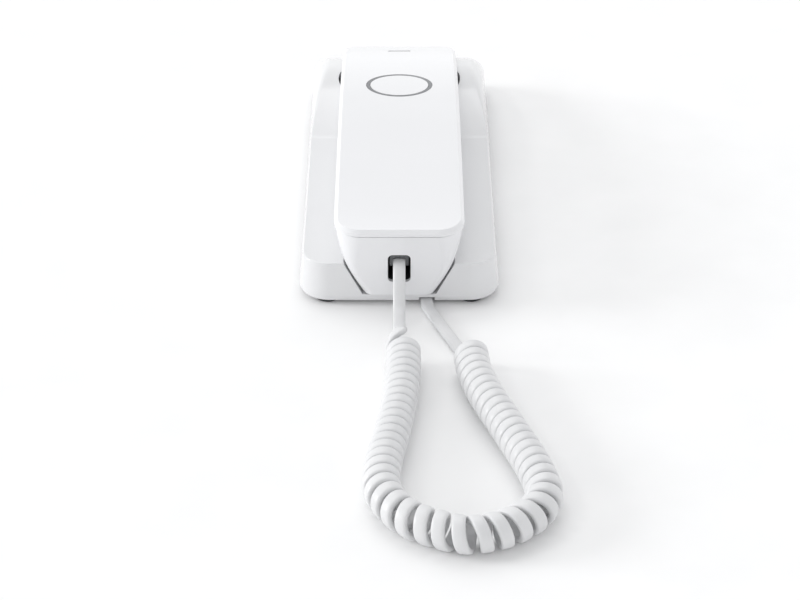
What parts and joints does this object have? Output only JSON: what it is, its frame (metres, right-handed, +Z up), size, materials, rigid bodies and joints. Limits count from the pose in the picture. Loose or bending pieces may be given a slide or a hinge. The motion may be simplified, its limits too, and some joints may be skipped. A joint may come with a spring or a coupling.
{
  "type": "slimline wall phone",
  "caption": "Slim corded telephone: low cradle base, handset with keys on its inner face, curly cord and wall keyholes.",
  "frame": {"origin": "on the table, under the middle of the phone without its cord", "axes": "+X across the phone, +Y along it towards the earpiece end (up when it hangs on a wall), +Z up from the table"},
  "size_m": [0.0948, 0.3696, 0.035],
  "materials": {
    "shell": "glossy cool white, faint moulding ripple",
    "plate": "fine spark-eroded texture",
    "rubber": "matte",
    "screw_steel": "zinc plated",
    "board": "green solder mask, satin",
    "components": "moulded epoxy",
    "socket": "moulded, semi-matte",
    "spring_steel": "drawn wire",
    "plunger": "polished where it slides",
    "switch": "moulded",
    "sounder": "moulded",
    "cord": "soft PVC, semi-gloss",
    "clear_plug": "clear polycarbonate",
    "grey_trim": "satin grey",
    "lens": "smoked, glossy",
    "led": "clear epoxy",
    "silicone": "matte silicone",
    "speaker": "moulded frame, steel magnet",
    "foam": "closed-cell foam",
    "capsule": "drawn can",
    "ballast": "plated",
    "keycap": "satin white",
    "function_keycap": "satin grey"
  },
  "bodies": {
    "base": {"base_cover": "shell", "base_plate": "plate", "foot_front_left": "rubber", "foot_front_right": "rubber", "foot_rear_left": "rubber", "foot_rear_right": "rubber", "base_screws": "screw_steel", "base_board": "board", "board_parts": "components", "line_jack": "socket", "cord_jack": "socket", "hook_spring": "spring_steel", "hook_switch": "switch", "ringer": "sounder", "curly_cord": "cord", "base_lead": "cord", "base_plug": "clear_plug"},
    "handset": {"handset_back": "shell", "handset_front": "shell", "ring_trim": "grey_trim", "indicator_lens": "lens", "indicator_led": "led", "handset_board": "board", "keypad_mat": "silicone", "ear_speaker": "speaker", "speaker_gasket": "foam", "microphone": "capsule", "microphone_boot": "rubber", "handset_jack": "socket", "handset_screws": "screw_steel", "handset_weight": "ballast", "handset_plug": "clear_plug", "handset_lead": "cord"},
    "hook": {"hook_plunger": "plunger"},
    "key_star": {"key_star": "keycap"},
    "key_0": {"key_0": "keycap"},
    "key_hash": {"key_hash": "keycap"},
    "key_7": {"key_7": "keycap"},
    "key_8": {"key_8": "keycap"},
    "key_9": {"key_9": "keycap"},
    "key_4": {"key_4": "keycap"},
    "key_5": {"key_5": "keycap"},
    "key_6": {"key_6": "keycap"},
    "key_1": {"key_1": "keycap"},
    "key_2": {"key_2": "keycap"},
    "key_3": {"key_3": "keycap"},
    "key_redial": {"key_redial": "function_keycap"},
    "key_flash": {"key_flash": "function_keycap"},
    "key_mute": {"key_mute": "function_keycap"}
  },
  "joints": [
    {"name": "handset_lift", "type": "slide", "parent": "base", "child": "handset", "axis": [0, 0, 1], "range_m": [0, 0.03]},
    {"name": "hook_press", "type": "slide", "parent": "base", "child": "hook", "axis": [0, 0, 1], "range_m": [0, 0.003], "deforming": ["hook_spring"]},
    {"name": "key_star_press", "type": "slide", "parent": "handset", "child": "key_star", "axis": [0, 0, 1], "range_m": [0, 0.001], "stiffness_N_per_m": 400, "springref_m": -0.0005},
    {"name": "key_0_press", "type": "slide", "parent": "handset", "child": "key_0", "axis": [0, 0, 1], "range_m": [0, 0.001], "stiffness_N_per_m": 400, "springref_m": -0.0005},
    {"name": "key_hash_press", "type": "slide", "parent": "handset", "child": "key_hash", "axis": [0, 0, 1], "range_m": [0, 0.001], "stiffness_N_per_m": 400, "springref_m": -0.0005},
    {"name": "key_7_press", "type": "slide", "parent": "handset", "child": "key_7", "axis": [0, 0, 1], "range_m": [0, 0.001], "stiffness_N_per_m": 400, "springref_m": -0.0005},
    {"name": "key_8_press", "type": "slide", "parent": "handset", "child": "key_8", "axis": [0, 0, 1], "range_m": [0, 0.001], "stiffness_N_per_m": 400, "springref_m": -0.0005},
    {"name": "key_9_press", "type": "slide", "parent": "handset", "child": "key_9", "axis": [0, 0, 1], "range_m": [0, 0.001], "stiffness_N_per_m": 400, "springref_m": -0.0005},
    {"name": "key_4_press", "type": "slide", "parent": "handset", "child": "key_4", "axis": [0, 0, 1], "range_m": [0, 0.001], "stiffness_N_per_m": 400, "springref_m": -0.0005},
    {"name": "key_5_press", "type": "slide", "parent": "handset", "child": "key_5", "axis": [0, 0, 1], "range_m": [0, 0.001], "stiffness_N_per_m": 400, "springref_m": -0.0005},
    {"name": "key_6_press", "type": "slide", "parent": "handset", "child": "key_6", "axis": [0, 0, 1], "range_m": [0, 0.001], "stiffness_N_per_m": 400, "springref_m": -0.0005},
    {"name": "key_1_press", "type": "slide", "parent": "handset", "child": "key_1", "axis": [0, 0, 1], "range_m": [0, 0.001], "stiffness_N_per_m": 400, "springref_m": -0.0005},
    {"name": "key_2_press", "type": "slide", "parent": "handset", "child": "key_2", "axis": [0, 0, 1], "range_m": [0, 0.001], "stiffness_N_per_m": 400, "springref_m": -0.0005},
    {"name": "key_3_press", "type": "slide", "parent": "handset", "child": "key_3", "axis": [0, 0, 1], "range_m": [0, 0.001], "stiffness_N_per_m": 400, "springref_m": -0.0005},
    {"name": "key_redial_press", "type": "slide", "parent": "handset", "child": "key_redial", "axis": [0, 0, 1], "range_m": [0, 0.001], "stiffness_N_per_m": 400, "springref_m": -0.0005},
    {"name": "key_flash_press", "type": "slide", "parent": "handset", "child": "key_flash", "axis": [0, 0, 1], "range_m": [0, 0.001], "stiffness_N_per_m": 400, "springref_m": -0.0005},
    {"name": "key_mute_press", "type": "slide", "parent": "handset", "child": "key_mute", "axis": [0, 0, 1], "range_m": [0, 0.001], "stiffness_N_per_m": 400, "springref_m": -0.0005}
  ],
  "couplings": [
    {"joint": "hook_press", "follows": "handset_lift", "ratio": 0.1}
  ]
}
